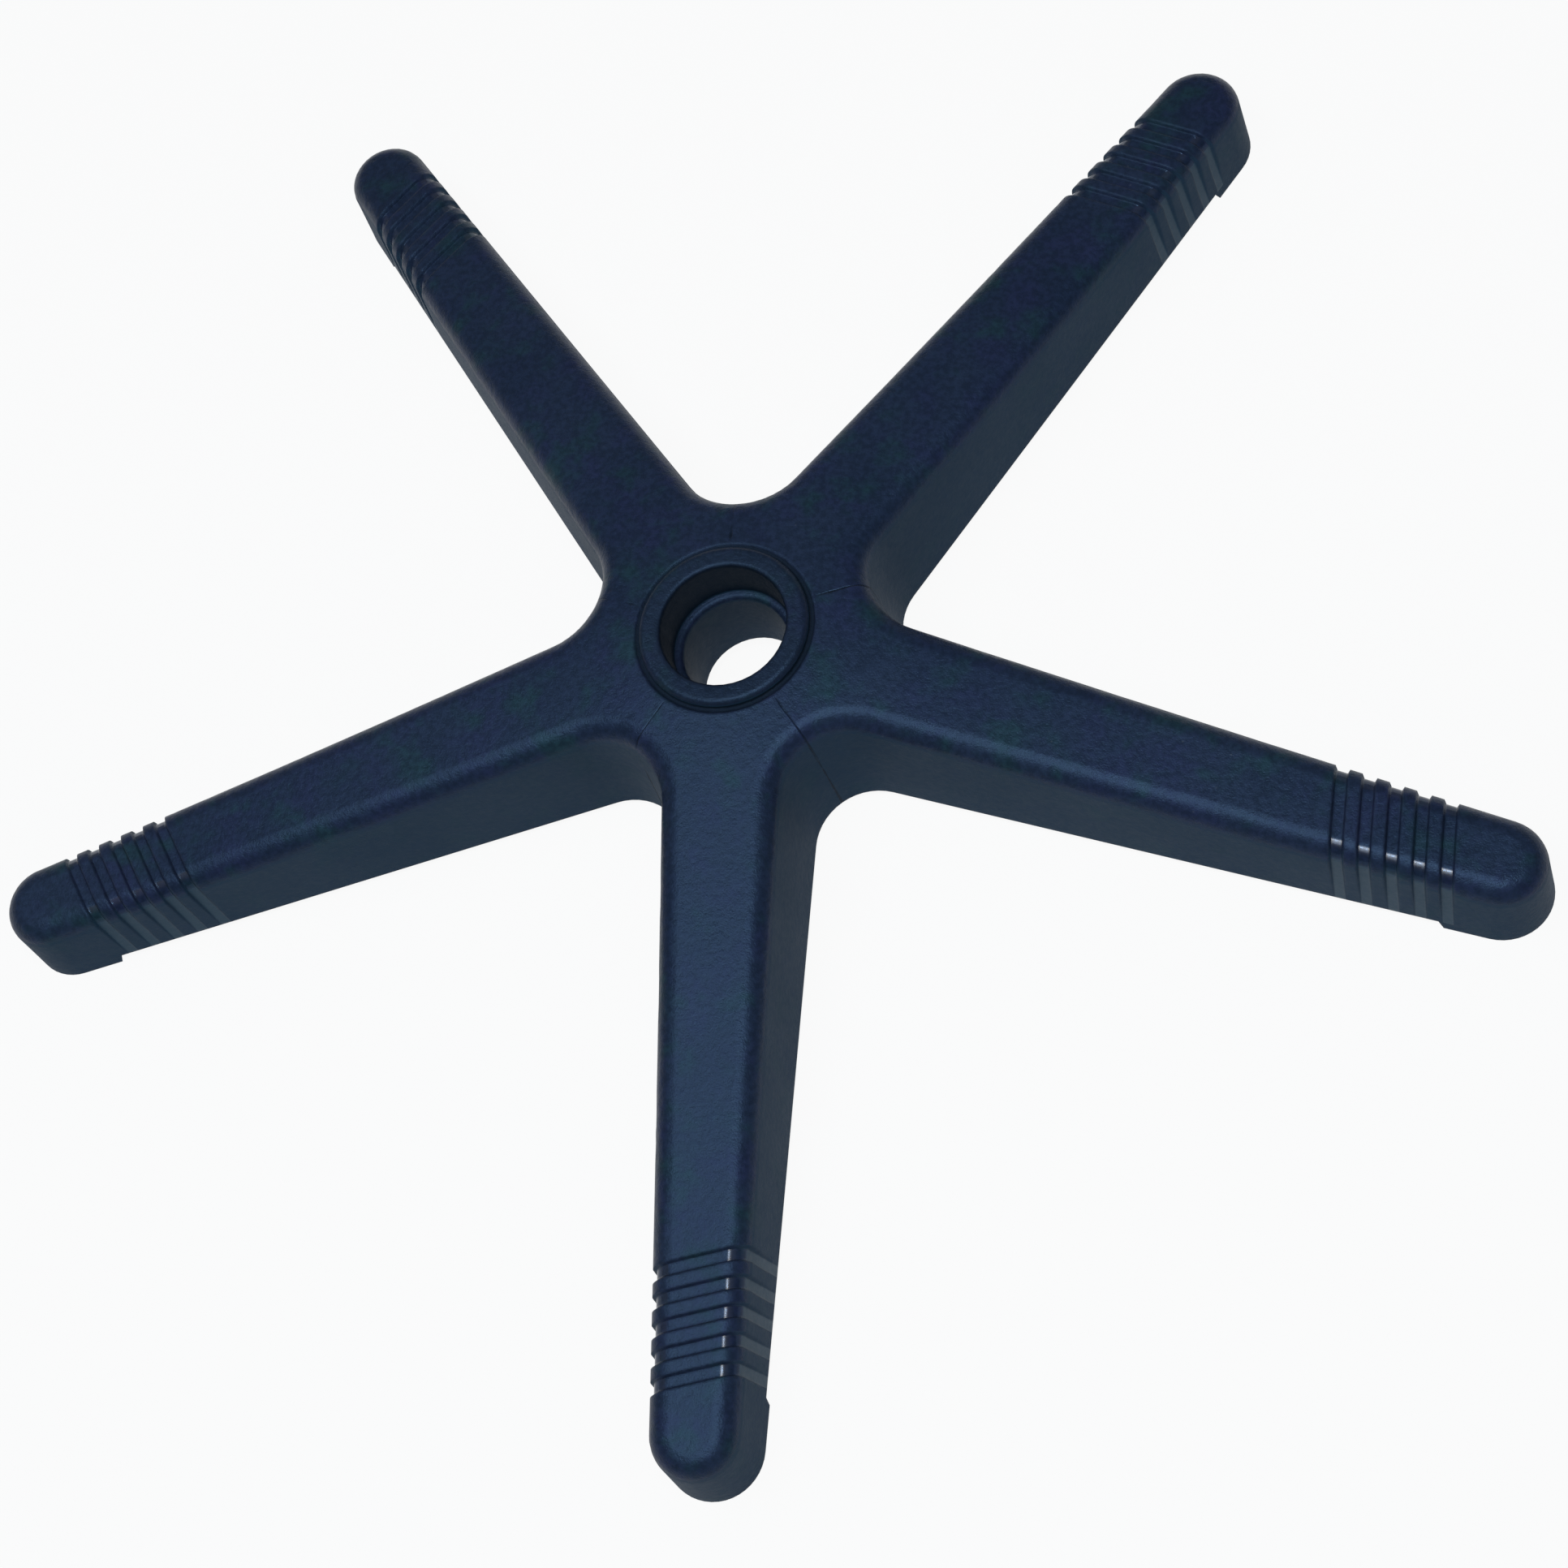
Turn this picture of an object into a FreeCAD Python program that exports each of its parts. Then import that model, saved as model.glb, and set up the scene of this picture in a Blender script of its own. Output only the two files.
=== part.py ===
import FreeCAD, Part
import math
import os

# Moulded nylon star base of an office chair, one piece, shown without its casters.
# Millimetres, +Z up. The origin is on the column axis, in the bottom face of the hub tube,
# and the first arm points along -Y.

# Plan of the star, at the level of the foot pads
ARM_COUNT = 5
FIRST_ARM_ANGLE = -90.0
TIP_REACH = 320.0        # column axis to the end of an arm
TIP_RADIUS = 19.0        # round end of an arm
ROOT_STATION = 100.0     # distance from the axis at which the root width is taken
ROOT_WIDTH = 51.6        # arm width at that station
VALLEY_RADIUS = 23.0     # hollow corner between two arms

# Levels below the hub's bottom face
PAD_DROP = 10.0          # foot pads
PAD_HEIGHT = 4.8         # pads stand this far below the bottom edges of the arms
PAD_LENGTH = 36.4        # pad, from the end of the arm
PAD_STEP_SLOPE = 22.0    # lean of the step from arm to pad, degrees

# Top of the star, a shallow dish swept round the column axis
TOP_AT_AXIS = 59.4
TOP_AT_TIP = 25.3
TOP_SAG = 2.7            # dish below the straight line from axis to tip
EDGE_ROUND = 9.0         # round between the top and the side walls
DRAFT = 4.2              # lean of the side walls, degrees

# Shell and ribs
WALL = 3.8
RIB_THICKNESS = 3.0
CROSS_RIB_START = 82.0   # first cross rib of an arm
CROSS_RIB_PITCH = 39.0
PAD_RIB_RECESS = 2.0     # ribs inside a pad stop short of its face

# Slanted grip grooves near the end of each arm
GROOVE_COUNT = 5
GROOVE_WIDTH = 5.6       # at the mouth
GROOVE_FLOOR = 4.0       # between the feet of the sloping sides
GROOVE_PITCH = 10.15
GROOVE_DEPTH = 1.4
GROOVE_RUN_OUT = 24.0    # height over which a groove fades out down a side wall
GROOVE_SLANT = 13.0      # degrees off square to the arm
GROOVE_END_GAP = 37.9    # last groove's middle to the end of the arm
GROOVE_LOW_GAP = 1.0     # grooves end this far above the bottom edge of the arm

# Hub: raised ring round the mouth, tapered column seat and straight guide bore
RING_TOP = 57.5
RING_RADIUS = 33.7
RING_ROUND = 2.4
RING_GROOVE_WIDTH = 1.5  # floor of the groove outside the ring
RING_GROOVE_DEPTH = 4.0  # below the top of the ring
RING_GROOVE_LEAN = 45.0  # lean of the outer side of that groove, degrees
SEAT_RADIUS = 25.0       # at the mouth
SEAT_DEPTH = 21.0
SEAT_HALF_ANGLE = 1.43   # taper of 1 in 20 on the diameter
MOUTH_ROUND = 1.8
BORE_RADIUS = 21.3
SHOULDER_ROUND = 2.4
HUB_TUBE_RADIUS = 29.0   # outside of the tube at its bottom face
HUB_TUBE_DRAFT = 8.0

# Caster sockets
SOCKET_RADIUS = 5.5      # grip stem of 11 mm
SOCKET_DEPTH = 32.0
SOCKET_CHAMFER = 0.8
BOSS_RADIUS = 10.0

# Levels and stations worked out from the sizes above
PAD_LEVEL = -PAD_DROP
EDGE_LEVEL = PAD_LEVEL + PAD_HEIGHT
CEILING = TOP_AT_AXIS + EDGE_ROUND
ARM_STEP = 2 * math.pi / ARM_COUNT
TIP_STATION = TIP_REACH - TIP_RADIUS
PAD_STATION = TIP_REACH - PAD_LENGTH
BEYOND_ARM = 2 * ROOT_WIDTH   # wide enough to cross an arm at any station
AXIS = FreeCAD.Vector(0, 0, 1)
ORIGIN = FreeCAD.Vector(0, 0, 0)


def tan_deg(angle):
    return math.tan(math.radians(angle))


def arm_point(arm, along, across, level):
    """A point given along and across an arm. Arms are counted from the one along +X."""
    angle = arm * ARM_STEP
    x = along * math.cos(angle) - across * math.sin(angle)
    y = along * math.sin(angle) + across * math.cos(angle)
    return FreeCAD.Vector(x, y, level)


def turned(shape, angle):
    """A copy of a shape, turned about the column axis."""
    copy = shape.copy()
    copy.rotate(ORIGIN, AXIS, math.degrees(angle))
    return copy


def bar(start, end, thickness, low, high):
    """An upright plate along +X, centred across it."""
    return Part.makeBox(end - start, thickness, high - low,
                        FreeCAD.Vector(start, -thickness / 2, low))


def revolved(edges):
    """A solid of revolution about the column axis, with its seam away from the arm along +X."""
    profile = turned(Part.Face(Part.Wire(edges)), math.pi)
    return profile.revolve(ORIGIN, AXIS, 360)


def section_point(radius, level):
    return FreeCAD.Vector(radius, 0, level)


def line(start, end):
    return Part.LineSegment(start, end).toShape()


def arc(start, middle, end):
    return Part.Arc(start, middle, end).toShape()


def arm_edge():
    """Taper angle of an arm's edge, and the distance of the valley's centre from the axis."""
    run = TIP_STATION - ROOT_STATION
    half_width = ROOT_WIDTH / 2
    taper = math.atan2(half_width, run) - math.asin(TIP_RADIUS / math.hypot(run, half_width))
    edge_offset = TIP_STATION * math.sin(taper) + TIP_RADIUS
    valley_centre = (edge_offset + VALLEY_RADIUS) / math.sin(taper + ARM_STEP / 2)
    return taper, valley_centre


def star_outline(inset, level):
    """Closed outline of the star: straight arm edges, round ends and round valleys."""
    taper, valley_centre = arm_edge()
    tip = TIP_RADIUS - inset
    valley = VALLEY_RADIUS + inset
    inner_along = valley_centre * math.cos(ARM_STEP / 2) - valley * math.sin(taper)
    inner_across = valley_centre * math.sin(ARM_STEP / 2) - valley * math.cos(taper)
    outer_along = TIP_STATION + tip * math.sin(taper)
    outer_across = tip * math.cos(taper)
    edges = []
    for arm in range(ARM_COUNT):
        right_inner = arm_point(arm, inner_along, -inner_across, level)
        right_outer = arm_point(arm, outer_along, -outer_across, level)
        arm_end = arm_point(arm, TIP_STATION + tip, 0, level)
        left_outer = arm_point(arm, outer_along, outer_across, level)
        left_inner = arm_point(arm, inner_along, inner_across, level)
        valley_bottom = arm_point(arm + 0.5, valley_centre - valley, 0, level)
        next_inner = arm_point(arm + 1, inner_along, -inner_across, level)
        edges.append(line(right_inner, right_outer))
        edges.append(arc(right_outer, arm_end, left_outer))
        edges.append(line(left_outer, left_inner))
        edges.append(arc(left_inner, valley_bottom, next_inner))
    return Part.Wire(edges)


def under_top(drop):
    """Everything below the dished top surface, lowered by drop."""
    middle_level = (TOP_AT_AXIS + TOP_AT_TIP) / 2 - TOP_SAG
    centre = section_point(0, TOP_AT_AXIS - drop)
    middle = section_point(TIP_REACH / 2, middle_level - drop)
    rim = section_point(TIP_REACH, TOP_AT_TIP - drop)
    low_rim = section_point(TIP_REACH, PAD_LEVEL)
    low_centre = section_point(0, PAD_LEVEL)
    return revolved([arc(centre, middle, rim), line(rim, low_rim),
                     line(low_rim, low_centre), line(low_centre, centre)])


def rounded_star(inset, foot_inset, wall_slope):
    """A star with leaning walls and a dished top, set in by inset, and its top edge rounded."""
    lean = (CEILING - PAD_LEVEL) * wall_slope
    foot = star_outline(foot_inset, PAD_LEVEL)
    head = star_outline(foot_inset + lean, CEILING)
    body = Part.makeLoft([foot, head], True, True).common(under_top(inset)).Solids[0]
    top = max(body.Faces, key=lambda face: face.CenterOfMass.z)
    rim_edges = []
    for edge in top.Edges:
        neighbours = {face.hashCode() for face in body.ancestorsOfType(edge, Part.Face)}
        if len(neighbours) == 2:
            rim_edges.append(edge)
    return body.makeFillet(EDGE_ROUND - inset, rim_edges)


def star_body(inset):
    """The drafted star, all set in by inset."""
    return rounded_star(inset, inset, tan_deg(DRAFT))


def groove_bed():
    """A star set in by the depth of the grooves, whose walls meet the drafted ones low down."""
    extra_slope = GROOVE_DEPTH / GROOVE_RUN_OUT
    meeting_level = EDGE_LEVEL + GROOVE_LOW_GAP
    foot_inset = (PAD_LEVEL - meeting_level) * extra_slope
    return rounded_star(GROOVE_DEPTH, foot_inset, tan_deg(DRAFT) + extra_slope)


def arm_share():
    """The part of the star that one arm takes up, between the middles of its two valleys."""
    low_axis = FreeCAD.Vector(0, 0, PAD_LEVEL)
    right = arm_point(-0.5, 2 * TIP_REACH, 0, PAD_LEVEL)
    left = arm_point(0.5, 2 * TIP_REACH, 0, PAD_LEVEL)
    plan = Part.Face(Part.makePolygon([low_axis, right, left, low_axis]))
    return plan.extrude(FreeCAD.Vector(0, 0, CEILING - PAD_LEVEL))


def groove_wire(body, station):
    """Outline of an arm in a slanted plane, from wall to wall over the top, closed round the outside."""
    slant = math.radians(GROOVE_SLANT)
    along = FreeCAD.Vector(math.cos(slant), math.sin(slant), 0)
    across = FreeCAD.Vector(-math.sin(slant), math.cos(slant), 0)
    edges = body.slice(along, station * math.cos(slant))[0].OrderedEdges
    bottom = min(range(len(edges)), key=lambda index: edges[index].CenterOfMass.z)
    over_top = edges[bottom + 1:] + edges[:bottom]
    corners = [vertex.Point for vertex in edges[bottom].Vertexes]
    right, left = sorted(corners, key=lambda point: point.dot(across))
    if over_top[0].CenterOfMass.dot(across) > over_top[-1].CenterOfMass.dot(across):
        over_top.reverse()
    out = across * BEYOND_ARM
    up = AXIS * (CEILING - PAD_LEVEL)
    round_outside = [left, left + out, left + out + up, right - out + up, right - out, right]
    for start, end in zip(round_outside, round_outside[1:]):
        over_top.append(line(start, end))
    return Part.Wire(over_top)


def grip_grooves(share):
    """Slanted grooves with sloping sides, over the top of an arm and fading out down its walls."""
    clearance = GROOVE_DEPTH / 2
    bed = groove_bed().common(share)
    cover = star_body(-clearance).common(share)
    side_slope = (GROOVE_WIDTH - GROOVE_FLOOR) / (2 * GROOVE_DEPTH)
    half_floor = GROOVE_FLOOR / 2
    half_mouth = GROOVE_WIDTH / 2 + clearance * side_slope
    grooves = []
    for index in range(GROOVE_COUNT):
        station = TIP_REACH - GROOVE_END_GAP - index * GROOVE_PITCH
        wires = [
            groove_wire(cover, station - half_mouth),
            groove_wire(bed, station - half_floor),
            groove_wire(bed, station + half_floor),
            groove_wire(cover, station + half_mouth),
        ]
        grooves.append(Part.makeLoft(wires, True, True))
    return grooves


def ribs():
    """Centre and cross ribs of an arm, the closing wall of its pad and the hub ribs beside it."""
    pad_wall_start = PAD_STATION + PAD_HEIGHT * tan_deg(PAD_STEP_SLOPE)
    pad_rib_level = PAD_LEVEL + PAD_RIB_RECESS
    plates = [
        bar(0, pad_wall_start, RIB_THICKNESS, 0, CEILING),
        bar(pad_wall_start, pad_wall_start + WALL, 2 * TIP_RADIUS, PAD_LEVEL, CEILING),
        bar(pad_wall_start, TIP_REACH, RIB_THICKNESS, pad_rib_level, CEILING),
        bar(TIP_STATION - RIB_THICKNESS / 2, TIP_STATION + RIB_THICKNESS / 2,
            2 * TIP_RADIUS, pad_rib_level, CEILING),
    ]
    station = CROSS_RIB_START
    while station < pad_wall_start - CROSS_RIB_PITCH / 2:
        plates.append(bar(station, station + RIB_THICKNESS, BEYOND_ARM, 0, CEILING))
        station += CROSS_RIB_PITCH
    hub_rib = bar(HUB_TUBE_RADIUS, arm_edge()[1], RIB_THICKNESS, 0, CEILING)
    return plates + [turned(hub_rib, -ARM_STEP / 2), turned(hub_rib, ARM_STEP / 2)]


def hub_tube():
    top_radius = HUB_TUBE_RADIUS + CEILING * tan_deg(HUB_TUBE_DRAFT)
    return Part.makeCone(HUB_TUBE_RADIUS, top_radius, CEILING)


def caster_boss():
    return Part.makeCylinder(BOSS_RADIUS, CEILING - PAD_LEVEL,
                             FreeCAD.Vector(TIP_STATION, 0, PAD_LEVEL))


def underside(share):
    """The hollow under an arm, with the hub tube, boss and ribs left standing in it."""
    return star_body(WALL).common(share).cut([hub_tube(), caster_boss()] + ribs())


def below_arms():
    """The space under the arms, inside the foot pads."""
    step_run = PAD_HEIGHT * tan_deg(PAD_STEP_SLOPE)
    return Part.makeCone(PAD_STATION + step_run, PAD_STATION, PAD_HEIGHT,
                         FreeCAD.Vector(0, 0, PAD_LEVEL))


def ring_stock():
    """Material for the ring, which stands above the dished top of the hub."""
    return Part.makeCylinder(RING_RADIUS + RING_GROOVE_WIDTH / 2, RING_GROOVE_DEPTH,
                             FreeCAD.Vector(0, 0, RING_TOP - RING_GROOVE_DEPTH))


def hub_opening():
    """Ring groove, rounded ring, tapered seat, shoulder and guide bore, as one revolved cut."""
    def corner(centre_radius, centre_level, radius, angle):
        return section_point(centre_radius + radius * math.cos(math.radians(angle)),
                             centre_level + radius * math.sin(math.radians(angle)))

    groove_outer = RING_RADIUS + RING_GROOVE_WIDTH
    groove_level = RING_TOP - RING_GROOVE_DEPTH
    shoulder_level = RING_TOP - SEAT_DEPTH
    seat_end = SEAT_RADIUS - SEAT_DEPTH * tan_deg(SEAT_HALF_ANGLE)
    ring_centre = (RING_RADIUS - RING_ROUND, RING_TOP - RING_ROUND, RING_ROUND)
    mouth_centre = (SEAT_RADIUS + MOUTH_ROUND, RING_TOP - MOUTH_ROUND, MOUTH_ROUND)
    lip_centre = (BORE_RADIUS + SHOULDER_ROUND, shoulder_level - SHOULDER_ROUND, SHOULDER_ROUND)
    high_axis = section_point(0, CEILING)
    high_rim = section_point(groove_outer + (CEILING - groove_level) * tan_deg(RING_GROOVE_LEAN), CEILING)
    groove_corner = section_point(groove_outer, groove_level)
    groove_inner = section_point(RING_RADIUS, groove_level)
    seat_corner = section_point(seat_end, shoulder_level)
    low_rim = section_point(BORE_RADIUS, PAD_LEVEL)
    low_axis = section_point(0, PAD_LEVEL)
    return revolved([
        line(high_axis, high_rim),
        line(high_rim, groove_corner),
        line(groove_corner, groove_inner),
        line(groove_inner, corner(*ring_centre, 0)),
        arc(corner(*ring_centre, 0), corner(*ring_centre, 45), corner(*ring_centre, 90)),
        line(corner(*ring_centre, 90), corner(*mouth_centre, 90)),
        arc(corner(*mouth_centre, 90), corner(*mouth_centre, 135), corner(*mouth_centre, 180)),
        line(corner(*mouth_centre, 180), seat_corner),
        line(seat_corner, corner(*lip_centre, 90)),
        arc(corner(*lip_centre, 90), corner(*lip_centre, 135), corner(*lip_centre, 180)),
        line(corner(*lip_centre, 180), low_rim),
        line(low_rim, low_axis),
        line(low_axis, high_axis),
    ])


def caster_socket():
    centre = FreeCAD.Vector(TIP_STATION, 0, PAD_LEVEL)
    hole = Part.makeCylinder(SOCKET_RADIUS, SOCKET_DEPTH, centre)
    mouth = Part.makeCone(SOCKET_RADIUS + SOCKET_CHAMFER, SOCKET_RADIUS, SOCKET_CHAMFER, centre)
    return hole.fuse(mouth)


def one_arm():
    """One arm along +X with its share of the hub."""
    share = arm_share()
    arm = star_body(0).common(share).cut(grip_grooves(share) + [below_arms()])
    return arm.cut([underside(share), caster_socket()]).Solids[0]


def star_base():
    arm = one_arm()
    first_angle = math.radians(FIRST_ARM_ANGLE)
    arms = [turned(arm, first_angle + index * ARM_STEP) for index in range(ARM_COUNT)]
    star = arms[0].fuse(arms[1:] + [ring_stock()]).removeSplitter()
    return star.cut(hub_opening())


os.makedirs("parts", exist_ok=True)
base = star_base()
base.Solids[0].exportStep("parts/star_base.step")
print("star_base: solids", len(base.Solids), "valid", base.isValid(),
      "volume cm3", round(base.Volume / 1000, 1))
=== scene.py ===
import math

import bpy
from mathutils import Matrix, Vector

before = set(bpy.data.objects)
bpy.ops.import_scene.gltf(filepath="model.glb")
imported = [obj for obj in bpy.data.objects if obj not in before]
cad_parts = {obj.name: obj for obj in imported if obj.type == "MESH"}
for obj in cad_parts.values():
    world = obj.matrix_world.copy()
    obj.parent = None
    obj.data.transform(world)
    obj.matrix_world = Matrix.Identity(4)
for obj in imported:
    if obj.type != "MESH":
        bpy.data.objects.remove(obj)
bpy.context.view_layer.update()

# Sizes of the part that the surface detail follows, in metres and radians
ARM_STEP = math.radians(72)
FIRST_ARM = math.radians(-90)
PAD_LEVEL = -0.010
EDGE_LEVEL = -0.0052
GROOVE_FIRST = 0.2415
GROOVE_PITCH = 0.01015
GROOVE_FLOOR = 0.0040
GROOVE_COUNT = 5
GROOVE_SLANT = math.radians(13)
RING_RADIUS = 0.0337
RING_GROOVE_WIDTH = 0.0015
RING_GROOVE_TOP = 0.0552
SEAT_RADIUS = 0.0250
SEAT_FOOT = 0.0380

# Sizes of the surface detail, in metres
FLOOR_FADE_IN = 0.0002
FLOOR_FADE_OUT = 0.0003
RING_FADE = 0.0004
SEAT_FADE = 0.0010
EDGE_ROUND = 0.0015
SKIN_DEPTH = 0.0006
WELD_DEPTH = 0.0004
WELD_CORE = 0.0001
WELD_SIDE = 0.0006
WELD_WAVER = 0.0016
WELD_START = 0.036
WELD_FULL = 0.040

# Noise scales, in features per metre
FINE = 1500.0
GRAIN = 420.0
PEEL = 170.0
SPECK = 130.0
WAVER = 90.0
TINGE = 60.0
BREAKS = 55.0
BLOTCH = 45.0
CLOUD = 14.0
TINGE_SHIFT = (0.7, 0.3, 0.5)

# Colours of the skin, linear, and the share of each that is laid over what is below it
SKIN_DARK = (0.0080, 0.0145, 0.0355, 1)
SKIN_LIGHT = (0.0114, 0.0195, 0.0435, 1)
VIOLET = (0.0115, 0.0155, 0.0480, 1)
VIOLET_SHARE = 0.75
TEAL = (0.0080, 0.0270, 0.0340, 1)
TEAL_SHARE = 0.8
PITS = (0.0030, 0.0060, 0.0120, 1)
PITS_SHARE = 0.45
# Side walls: a lighter, bluer colour that is a painted reflection of the pale floor
SIDE_PAINTED_REFLECTION = (0.0110, 0.0335, 0.0605, 1)
SIDE_PAINTED_REFLECTION_SHARE = 0.7
# Groove floors on the side walls: a paler colour that is a painted reflection
WALL_GROOVE_PAINTED_REFLECTION = (0.0135, 0.0385, 0.0625, 1)
RING_TOP = (0.0030, 0.0065, 0.0110, 1)
RING_TOP_SHARE = 0.40
# Wall of the column seat: a darker colour that is painted shade
SEAT_PAINTED_SHADE = (0.0014, 0.0031, 0.0070, 1)
SEAT_PAINTED_SHADE_SHARE = 0.75
# Dark colour for dirt on the weld lines, and painted shade in the groove outside the ring
DIRT_AND_PAINTED_SHADE = (0.0014, 0.0028, 0.0056, 1)
DIRT_AND_PAINTED_SHADE_SHARE = 0.8
RUBBED = (0.026, 0.037, 0.051, 1)
RUBBED_SHARE = 0.35
DUST = (0.070, 0.085, 0.100, 1)
DUST_SHARE = 0.25

# Roughness of the satin skin, and what each kind of place adds or takes away
SATIN_LOW = 0.35
SATIN_HIGH = 0.43
GRAIN_ROUGHNESS = 0.03
WALL_ROUGHNESS = 0.30
WALL_GROOVE_POLISH = 0.20
BEND_POLISH = 0.29
DIRT_ROUGHNESS = 0.30
RUBBED_POLISH = 0.08

# Relief of the skin: the weight of each noise, and how much of it is lost on each kind of place
FINE_RELIEF = 0.25
GRAIN_RELIEF = 0.45
PEEL_RELIEF = 0.30
BEND_LOSS = 0.8
WALL_LOSS = 0.4
WALL_GROOVE_LOSS = 0.7
SKIN_STRENGTH = 0.80
WELD_STRENGTH = 0.5

# Reflection: a bluish sheen all over, and a clear coat on the bends of the grip grooves for white glints
NYLON_IOR = 1.5
SHEEN_LEVEL = 0.26
SHEEN_TINT = (0.32, 0.58, 1.0, 1)
COAT_WEIGHT = 0.7
COAT_ROUGHNESS = 0.24

# Studio: the floor's paper, the share of it that shows as plain white, its sizes in metres, and the light
PAPER = (0.37, 0.42, 0.46, 1)
WHITE = (1, 1, 1, 1)
WHITE_SHARE = 0.93
FLOOR_HALF = 30.0
RIM_HALF = 36.0
RIM_RISE = 2.8
DAYLIGHT = (0.97, 0.99, 1.0)
FRONT_LIGHT = (0.97, 0.98, 1.0)
WORLD_STRENGTH = 0.20
# Name, place and size in metres, power in watts, colour
LAMPS = [
    ("overhead", (-0.46, -0.32, 1.85), (1.60, 0.60), 20.5, DAYLIGHT),
    ("key", (0.33, -0.33, 1.70), (0.36, 0.16), 13.0, DAYLIGHT),
    ("front", (0.9, -1.6, 1.2), (1.2, 1.2), 2.1, FRONT_LIGHT),
]


class Graph:
    """Short ways to add shader nodes to one material."""

    def __init__(self, name):
        self.material = bpy.data.materials.new(name)
        self.material.use_nodes = True
        self.tree = self.material.node_tree
        self.tree.nodes.clear()

    def node(self, kind, **settings):
        made = self.tree.nodes.new(kind)
        for key, value in settings.items():
            setattr(made, key, value)
        return made

    def put(self, socket, value):
        if isinstance(value, bpy.types.NodeSocket):
            self.tree.links.new(value, socket)
        else:
            socket.default_value = value

    def math(self, operation, *values):
        made = self.node("ShaderNodeMath", operation=operation)
        for socket, value in zip(made.inputs, values):
            self.put(socket, value)
        return made.outputs[0]

    def plus(self, first, second):
        return self.math("ADD", first, second)

    def minus(self, first, second):
        return self.math("SUBTRACT", first, second)

    def times(self, first, second):
        return self.math("MULTIPLY", first, second)

    def split(self, vector):
        made = self.node("ShaderNodeSeparateXYZ")
        self.put(made.inputs[0], vector)
        return made.outputs

    def ramp(self, value, low, high, from_value=0.0, to_value=1.0):
        """A smooth step from from_value at low to to_value at high."""
        made = self.node("ShaderNodeMapRange", interpolation_type="SMOOTHSTEP")
        self.put(made.inputs[0], value)
        made.inputs[1].default_value = low
        made.inputs[2].default_value = high
        made.inputs[3].default_value = from_value
        made.inputs[4].default_value = to_value
        return made.outputs[0]

    def noise(self, place, scale, detail=3.0, roughness=0.55):
        made = self.node("ShaderNodeTexNoise")
        self.put(made.inputs["Vector"], place)
        made.inputs["Scale"].default_value = scale
        made.inputs["Detail"].default_value = detail
        made.inputs["Roughness"].default_value = roughness
        return made.outputs["Fac"]

    def mix_colour(self, factor, first, second):
        made = self.node("ShaderNodeMix", data_type="RGBA")
        self.put(made.inputs[0], factor)
        self.put(made.inputs[6], first)
        self.put(made.inputs[7], second)
        return made.outputs[2]

    def tint(self, colour, mask, share, other):
        """The colour, with a share of the other one laid over it where the mask is 1."""
        return self.mix_colour(self.times(mask, share), colour, other)

    def thin(self, value, mask, loss):
        """The value, less the given part of it where the mask is 1."""
        return self.times(value, self.minus(1.0, self.times(mask, loss)))

    def bump(self, height, strength, distance, normal):
        made = self.node("ShaderNodeBump")
        made.inputs["Strength"].default_value = strength
        made.inputs["Distance"].default_value = distance
        self.put(made.inputs["Height"], height)
        self.put(made.inputs["Normal"], normal)
        return made.outputs["Normal"]

    def surface(self, shader):
        out = self.node("ShaderNodeOutputMaterial")
        self.put(out.inputs["Surface"], shader.outputs[0])
        return self.material


def groove_floors(g, reach, local, z):
    """1 on the floors of the grip grooves, which cross each arm on a slant."""
    along = g.times(reach, g.math("COSINE", local))
    across = g.times(reach, g.math("SINE", local))
    slanted = g.plus(along, g.times(across, math.tan(GROOVE_SLANT)))
    count = g.math("DIVIDE", g.minus(slanted, GROOVE_FIRST), GROOVE_PITCH)
    off_middle = g.times(g.math("PINGPONG", count, 0.5), GROOVE_PITCH)
    half = GROOVE_FLOOR / 2
    floor = g.ramp(off_middle, half - FLOOR_FADE_IN, half + FLOOR_FADE_OUT, 1.0, 0.0)
    floor = g.times(floor, g.math("GREATER_THAN", count, -0.5))
    floor = g.times(floor, g.math("LESS_THAN", count, GROOVE_COUNT - 0.5))
    return g.times(floor, g.math("GREATER_THAN", z, EDGE_LEVEL))


def ring_places(g, reach, z):
    """Masks of the groove outside the ring, which is darkened as painted shade, and of the ring's top."""
    off_middle = g.math("ABSOLUTE", g.minus(reach, RING_RADIUS + RING_GROOVE_WIDTH / 2))
    groove = g.ramp(off_middle, RING_GROOVE_WIDTH / 2, RING_GROOVE_WIDTH, 1.0, 0.0)
    groove = g.times(groove, g.math("LESS_THAN", z, RING_GROOVE_TOP))
    top = g.ramp(reach, RING_RADIUS - RING_FADE, RING_RADIUS, 1.0, 0.0)
    top = g.times(top, g.math("GREATER_THAN", z, RING_GROOVE_TOP))
    return groove, top


def seat_wall(g, reach, z):
    """1 on the wall of the column seat, which is darkened as painted shade."""
    inside = g.ramp(reach, SEAT_RADIUS, SEAT_RADIUS + SEAT_FADE, 1.0, 0.0)
    return g.times(inside, g.ramp(z, SEAT_FOOT - SEAT_FADE, SEAT_FOOT))


def weld_lines(g, place, reach, local):
    """1 on the broken lines where the flows from two arms met in the mould."""
    waver = g.times(g.minus(g.noise(place, WAVER), 0.5), WELD_WAVER)
    from_valley = g.minus(ARM_STEP / 2, g.math("ABSOLUTE", local))
    off_valley = g.times(reach, g.math("SINE", from_valley))
    off_line = g.math("ABSOLUTE", g.plus(off_valley, waver))
    line = g.ramp(off_line, WELD_CORE, WELD_SIDE, 1.0, 0.0)
    line = g.times(line, g.ramp(reach, WELD_START, WELD_FULL))
    return g.times(line, g.ramp(g.noise(place, BREAKS), 0.28, 0.50))


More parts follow.
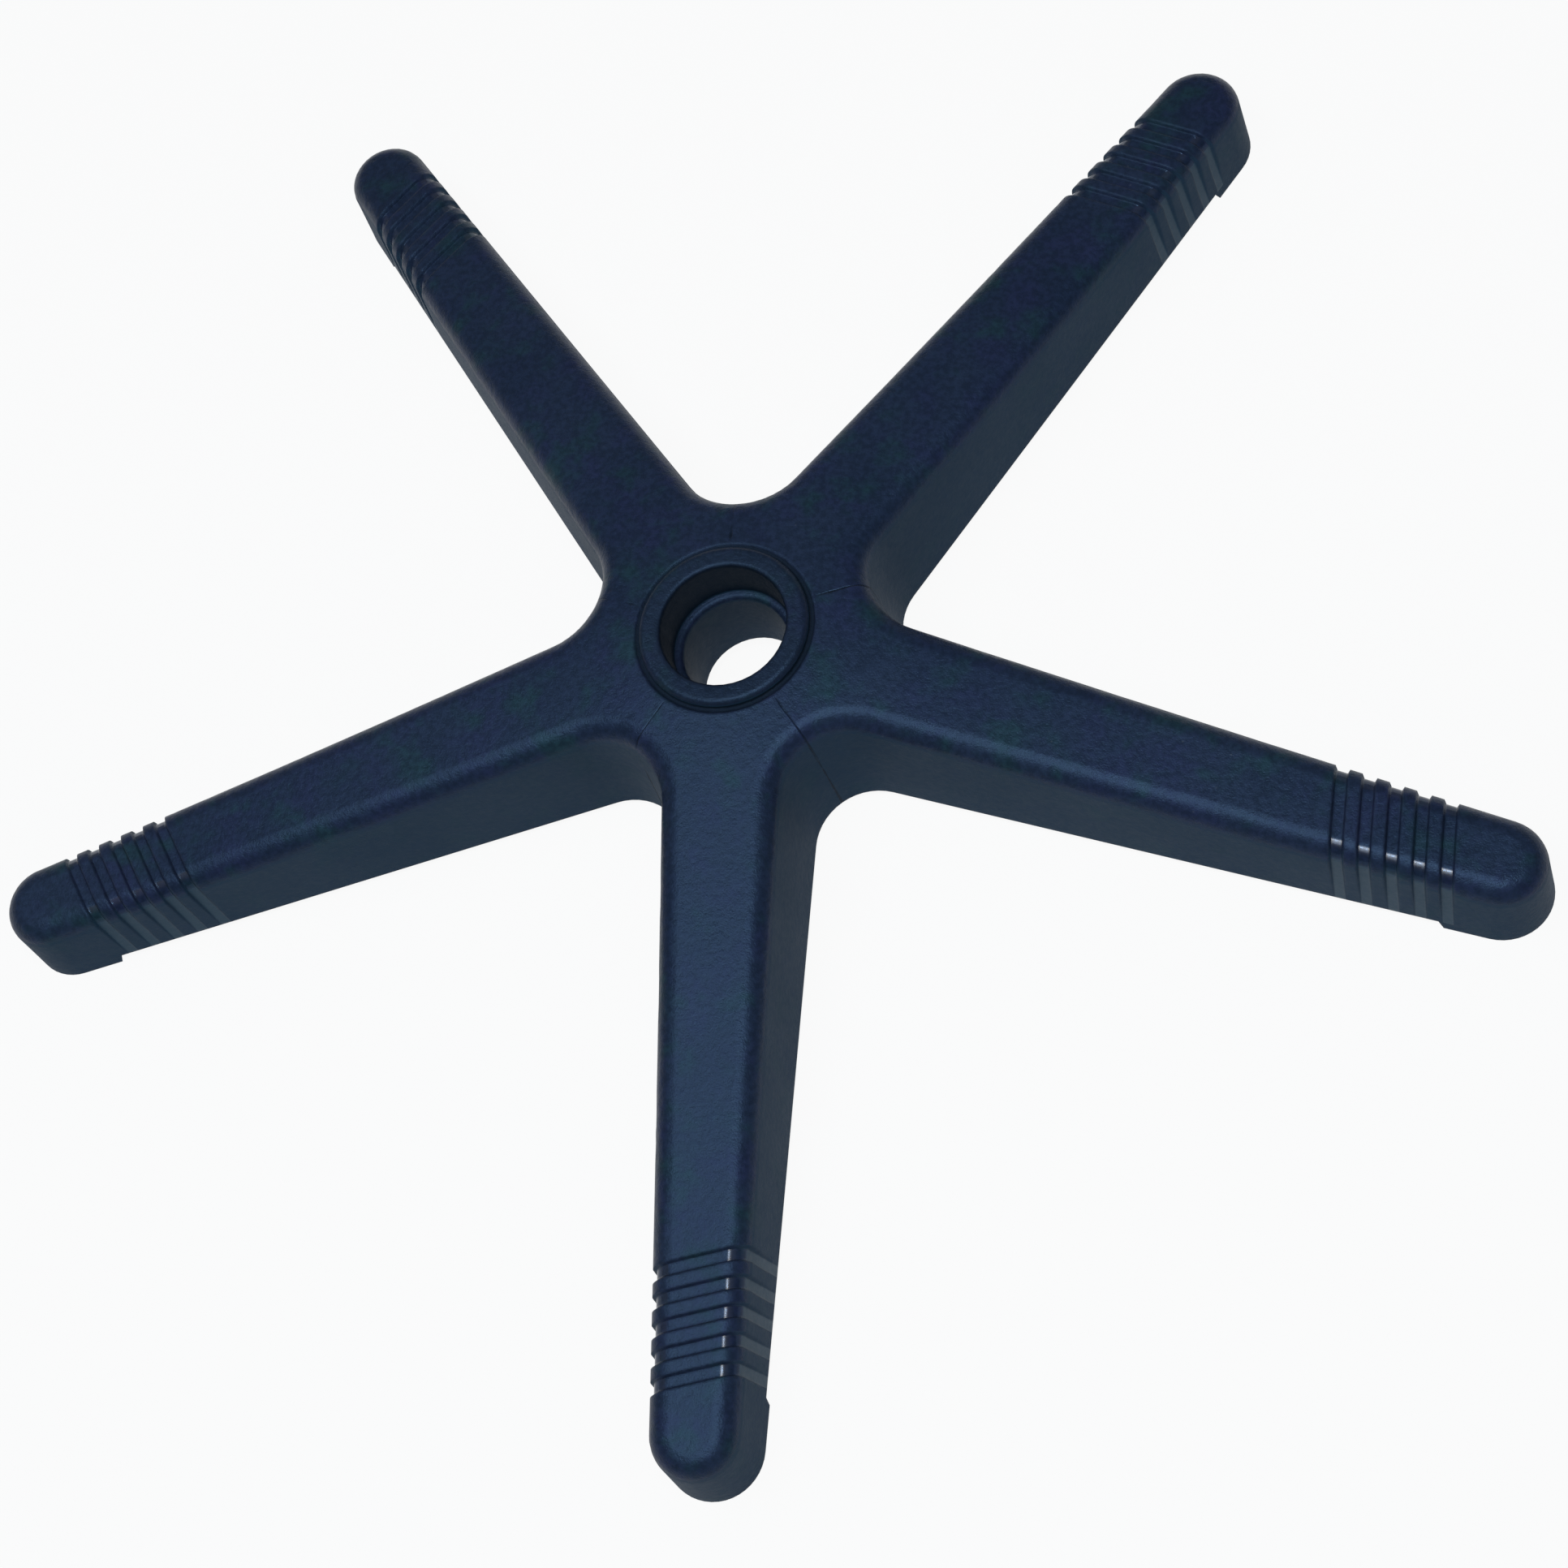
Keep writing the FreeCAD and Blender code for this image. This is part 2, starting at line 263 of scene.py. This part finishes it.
def rubbed_edges(g, rounded, true_normal, blotch):
    """1 on edges, where a rounded normal departs from the true one, in patches."""
    facing = g.node("ShaderNodeVectorMath", operation="DOT_PRODUCT")
    g.put(facing.inputs[0], rounded)
    g.put(facing.inputs[1], true_normal)
    edge = g.ramp(facing.outputs["Value"], 0.80, 0.985, 1.0, 0.0)
    return g.times(edge, g.ramp(blotch, 0.40, 0.65))


def dust_specks(g, place, cloud):
    """1 on small specks, in patches."""
    speck = g.node("ShaderNodeTexVoronoi")
    g.put(speck.inputs["Vector"], place)
    speck.inputs["Scale"].default_value = SPECK
    dust = g.ramp(speck.outputs["Distance"], 0.03, 0.07, 1.0, 0.0)
    return g.times(dust, g.ramp(cloud, 0.52, 0.62))


def nylon():
    """Dark blue-black moulded nylon: fine spark texture, smoother groove floors, weld lines, light wear."""
    g = Graph("nylon_satin")
    place = g.node("ShaderNodeTexCoord").outputs["Object"]
    x, y, z = g.split(place)
    reach = g.math("SQRT", g.plus(g.times(x, x), g.times(y, y)))
    angle = g.minus(g.math("ARCTAN2", y, x), FIRST_ARM)
    # Angle from the middle of the nearest arm
    local = g.math("WRAP", angle, ARM_STEP / 2, -ARM_STEP / 2)

    fine = g.noise(place, FINE, 2.0, 0.6)
    grain = g.noise(place, GRAIN, 3.0, 0.6)
    peel = g.noise(place, PEEL)
    cloud = g.noise(place, CLOUD, 4.0, 0.6)
    blotch = g.noise(place, BLOTCH)
    shifted = g.node("ShaderNodeVectorMath", operation="ADD")
    g.put(shifted.inputs[0], place)
    shifted.inputs[1].default_value = TINGE_SHIFT
    tinge = g.noise(shifted.outputs[0], TINGE)

    bevel = g.node("ShaderNodeBevel", samples=6)
    bevel.inputs["Radius"].default_value = EDGE_ROUND
    rounded = bevel.outputs[0]
    true_normal = g.node("ShaderNodeNewGeometry").outputs["Normal"]
    lean = g.split(true_normal)["Z"]
    upright = g.ramp(lean, 0.15, 0.45, 1.0, 0.0)
    rolling = g.ramp(lean, 0.95, 0.985, 1.0, 0.0)

    floor = groove_floors(g, reach, local, z)
    wall_groove = g.times(floor, upright)
    bend = g.times(floor, g.times(rolling, g.minus(1.0, upright)))
    ring_groove, ring_top = ring_places(g, reach, z)
    seat = seat_wall(g, reach, z)
    weld = weld_lines(g, place, reach, local)
    edge = rubbed_edges(g, rounded, true_normal, blotch)
    dust = dust_specks(g, place, cloud)

    colour = g.mix_colour(g.ramp(cloud, 0.30, 0.70), SKIN_DARK, SKIN_LIGHT)
    colour = g.mix_colour(g.ramp(blotch, 0.45, 0.70, 0.0, VIOLET_SHARE), colour, VIOLET)
    colour = g.mix_colour(g.ramp(tinge, 0.50, 0.72, 0.0, TEAL_SHARE), colour, TEAL)
    colour = g.mix_colour(g.ramp(grain, 0.35, 0.65, PITS_SHARE, 0.0), colour, PITS)
    # Side walls get a lighter, bluer colour: painted reflection of the floor
    colour = g.tint(colour, upright, SIDE_PAINTED_REFLECTION_SHARE, SIDE_PAINTED_REFLECTION)
    # Groove floors on the side walls get a paler colour: painted reflection
    colour = g.mix_colour(wall_groove, colour, WALL_GROOVE_PAINTED_REFLECTION)
    colour = g.tint(colour, ring_top, RING_TOP_SHARE, RING_TOP)
    # The column seat's wall is darkened: painted shade
    colour = g.tint(colour, seat, SEAT_PAINTED_SHADE_SHARE, SEAT_PAINTED_SHADE)
    # Weld lines are darkened as dirt; the groove outside the ring is darkened as painted shade
    colour = g.tint(colour, g.math("MAXIMUM", weld, ring_groove), DIRT_AND_PAINTED_SHADE_SHARE, DIRT_AND_PAINTED_SHADE)
    colour = g.tint(colour, edge, RUBBED_SHARE, RUBBED)
    colour = g.tint(colour, dust, DUST_SHARE, DUST)

    rough = g.ramp(cloud, 0.25, 0.75, SATIN_LOW, SATIN_HIGH)
    rough = g.plus(rough, g.ramp(grain, 0.3, 0.7, -GRAIN_ROUGHNESS, GRAIN_ROUGHNESS))
    rough = g.minus(rough, g.times(bend, BEND_POLISH))
    rough = g.plus(rough, g.times(upright, WALL_ROUGHNESS))
    rough = g.minus(rough, g.times(wall_groove, WALL_GROOVE_POLISH))
    rough = g.plus(rough, g.times(ring_groove, DIRT_ROUGHNESS))
    rough = g.minus(rough, g.times(edge, RUBBED_POLISH))

    height = g.plus(g.times(fine, FINE_RELIEF), g.times(grain, GRAIN_RELIEF))
    height = g.plus(height, g.times(peel, PEEL_RELIEF))
    height = g.thin(height, bend, BEND_LOSS)
    height = g.thin(height, upright, WALL_LOSS)
    height = g.thin(height, wall_groove, WALL_GROOVE_LOSS)
    skin = g.bump(height, SKIN_STRENGTH, SKIN_DEPTH, rounded)
    skin = g.bump(g.minus(1.0, weld), WELD_STRENGTH, WELD_DEPTH, skin)

    shader = g.node("ShaderNodeBsdfPrincipled")
    g.put(shader.inputs["Base Color"], colour)
    g.put(shader.inputs["Roughness"], rough)
    g.put(shader.inputs["Normal"], skin)
    g.put(shader.inputs["Coat Weight"], g.times(bend, g.ramp(lean, 0.75, 0.90, 0.0, COAT_WEIGHT)))
    shader.inputs["Coat Roughness"].default_value = COAT_ROUGHNESS
    shader.inputs["IOR"].default_value = NYLON_IOR
    shader.inputs["Specular IOR Level"].default_value = SHEEN_LEVEL
    shader.inputs["Specular Tint"].default_value = SHEEN_TINT
    return g.surface(shader)


def studio_white():
    """Matt pale paper. Seen directly or in a reflection, it shows as white with faint shadows."""
    g = Graph("studio_floor")
    paper = g.node("ShaderNodeBsdfDiffuse")
    paper.inputs["Color"].default_value = PAPER
    glow = g.node("ShaderNodeEmission")
    glow.inputs["Color"].default_value = WHITE
    path = g.node("ShaderNodeLightPath")
    seen = g.math("MAXIMUM", path.outputs["Is Camera Ray"], path.outputs["Is Transmission Ray"])
    seen = g.math("MAXIMUM", seen, path.outputs["Is Glossy Ray"])
    mix = g.node("ShaderNodeMixShader")
    g.put(mix.inputs[0], g.times(seen, WHITE_SHARE))
    g.put(mix.inputs[1], paper.outputs[0])
    g.put(mix.inputs[2], glow.outputs[0])
    return g.surface(mix)


def add_floor():
    """A wide floor whose far rim turns up a little, so that a low view meets it and not the world."""
    signs = [(-1, -1), (1, -1), (1, 1), (-1, 1)]
    corners = [(FLOOR_HALF * i, FLOOR_HALF * j, PAD_LEVEL) for i, j in signs]
    corners += [(RIM_HALF * i, RIM_HALF * j, PAD_LEVEL + RIM_RISE) for i, j in signs]
    faces = [(0, 1, 2, 3)]
    faces += [(k, k + 4, (k + 1) % 4 + 4, (k + 1) % 4) for k in range(4)]
    mesh = bpy.data.meshes.new("floor")
    mesh.from_pydata(corners, [], faces)
    floor = bpy.data.objects.new("floor", mesh)
    bpy.context.scene.collection.objects.link(floor)
    mesh.materials.append(studio_white())


def add_softbox(name, place, size, power, colour):
    """A flat lamp aimed at the middle of the part."""
    lamp = bpy.data.lights.new(name, "AREA")
    lamp.shape = "RECTANGLE"
    lamp.size = size[0]
    lamp.size_y = size[1]
    lamp.energy = power
    lamp.color = colour
    holder = bpy.data.objects.new(name, lamp)
    aim = (-Vector(place)).to_track_quat("-Z", "Y").to_matrix()
    holder.matrix_world = Matrix.Translation(place) @ aim.to_4x4()
    bpy.context.scene.collection.objects.link(holder)


def add_world():
    """Weak, even light from all round."""
    world = bpy.data.worlds.new("studio")
    world.use_nodes = True
    tree = world.node_tree
    tree.nodes.clear()
    soft = tree.nodes.new("ShaderNodeBackground")
    soft.inputs["Color"].default_value = (*DAYLIGHT, 1)
    soft.inputs["Strength"].default_value = WORLD_STRENGTH
    out = tree.nodes.new("ShaderNodeOutputWorld")
    tree.links.new(soft.outputs[0], out.inputs["Surface"])
    bpy.context.scene.world = world


def add_camera():
    """The photograph's view: 64 degrees above the floor, from front right, turned in the picture plane."""
    azimuth = math.radians(31.57)
    elevation = math.radians(63.52)
    roll = math.radians(-31.01)
    distance = 1.12947
    shift_right = -0.02205
    shift_up = 0.05841
    target = Vector((0, 0, 0.050))
    flat = math.cos(elevation)
    back = Vector((math.sin(azimuth) * flat, -math.cos(azimuth) * flat, math.sin(elevation)))
    level = Vector((0, 0, 1)).cross(back).normalized()
    rise = back.cross(level)
    right = math.cos(roll) * level + math.sin(roll) * rise
    up = math.cos(roll) * rise - math.sin(roll) * level
    data = bpy.data.cameras.new("camera")
    data.sensor_width = 36.0
    data.lens = 67.33
    data.clip_start = 0.01
    camera = bpy.data.objects.new("camera", data)
    turn = Matrix((right, up, back)).transposed()
    place = target + distance * back - shift_right * right - shift_up * up
    camera.matrix_world = Matrix.Translation(place) @ turn.to_4x4()
    bpy.context.scene.collection.objects.link(camera)
    bpy.context.scene.camera = camera


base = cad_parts["star_base"]
base.data.materials.clear()
base.data.materials.append(nylon())

add_floor()
add_world()
for lamp_facts in LAMPS:
    add_softbox(*lamp_facts)
add_camera()
bpy.context.scene.view_settings.view_transform = "Standard"
